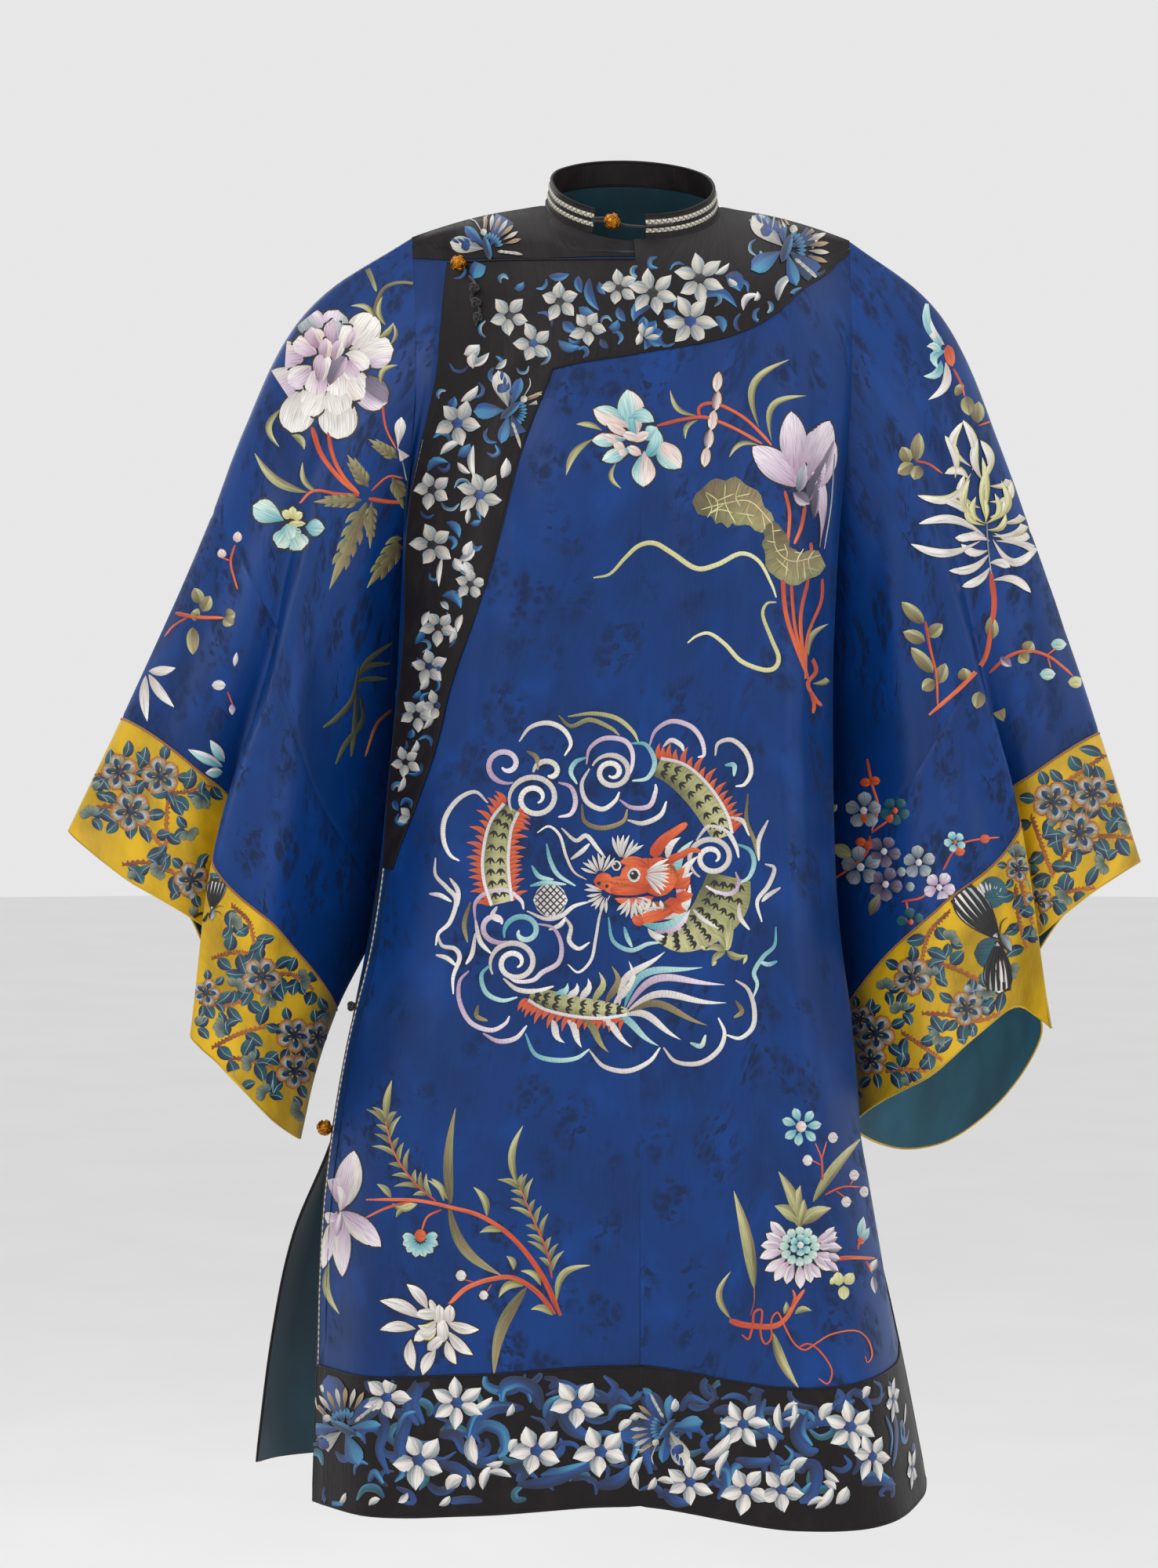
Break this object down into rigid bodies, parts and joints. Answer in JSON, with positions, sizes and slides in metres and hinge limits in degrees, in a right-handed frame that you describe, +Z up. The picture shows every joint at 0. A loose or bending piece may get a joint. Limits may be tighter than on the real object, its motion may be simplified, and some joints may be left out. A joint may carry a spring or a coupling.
{
  "type": "chinese lady's side-fastening silk robe, worn",
  "caption": "Late-Qing-style lady's robe in blue silk damask with a dragon roundel, flower sprays, black satin yoke and hem bands, and wide sleeves with yellow cuffs.",
  "frame": {"origin": "middle of the neck between the tops of the shoulders, where the wearer carries the robe", "axes": "+Z up, the wearer faces -Y, the wearer's left is +X"},
  "size_m": [0.8212, 0.31, 1.025],
  "materials": {
    "silk": "deep blue silk damask with tone-on-tone flowers, soft sheen",
    "satin": "black satin, embroidered in silk",
    "cuff": "mustard yellow satin, embroidered",
    "gilt": "gilt filigree ball",
    "cord": "black knotted silk cord"
  },
  "bodies": {
    "root": {"front_left": "silk", "front_overlap": "silk", "front_inner": "silk", "back": "silk", "sleeve_left": "silk", "sleeve_right": "silk", "sleeve_end_left": "silk", "sleeve_end_right": "silk", "cuff_left": "cuff", "cuff_right": "cuff", "yoke_left": "satin", "yoke_overlap": "satin", "yoke_right": "satin", "yoke_back": "satin", "hem_band_left": "satin", "hem_band_overlap": "satin", "hem_band_back": "satin", "collar": "satin", "collar_button": "gilt", "chest_button": "gilt", "slit_button": "gilt", "side_knot": "cord", "collar_loop": "cord", "chest_frog": "cord"}
  },
  "joints": []
}
